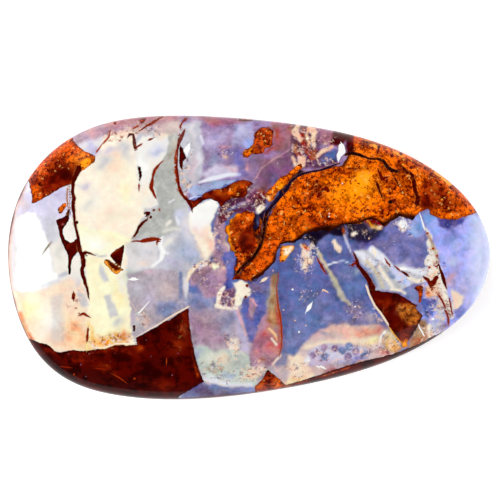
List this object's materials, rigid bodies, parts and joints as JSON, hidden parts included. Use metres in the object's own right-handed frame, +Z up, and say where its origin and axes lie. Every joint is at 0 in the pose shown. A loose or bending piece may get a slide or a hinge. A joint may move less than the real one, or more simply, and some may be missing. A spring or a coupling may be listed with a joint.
{
  "type": "polished opal cabochon",
  "caption": "Egg-shaped polished stone of milky violet opal with rust-brown ironstone matrix, a low dome and a flat ground back.",
  "frame": {"origin": "middle of the length and width, on the flat back that the stone lies on", "axes": "+X along the length towards the narrow end, +Y across the width, +Z up out of the dome"},
  "size_m": [0.0482, 0.0284, 0.007],
  "materials": {
    "polished_opal": "polished to a wet gloss: milky violet, cream and white opal with orange and maroon ironstone patches and veins"
  },
  "bodies": {
    "root": {"opal_cabochon": "polished_opal"}
  },
  "joints": []
}
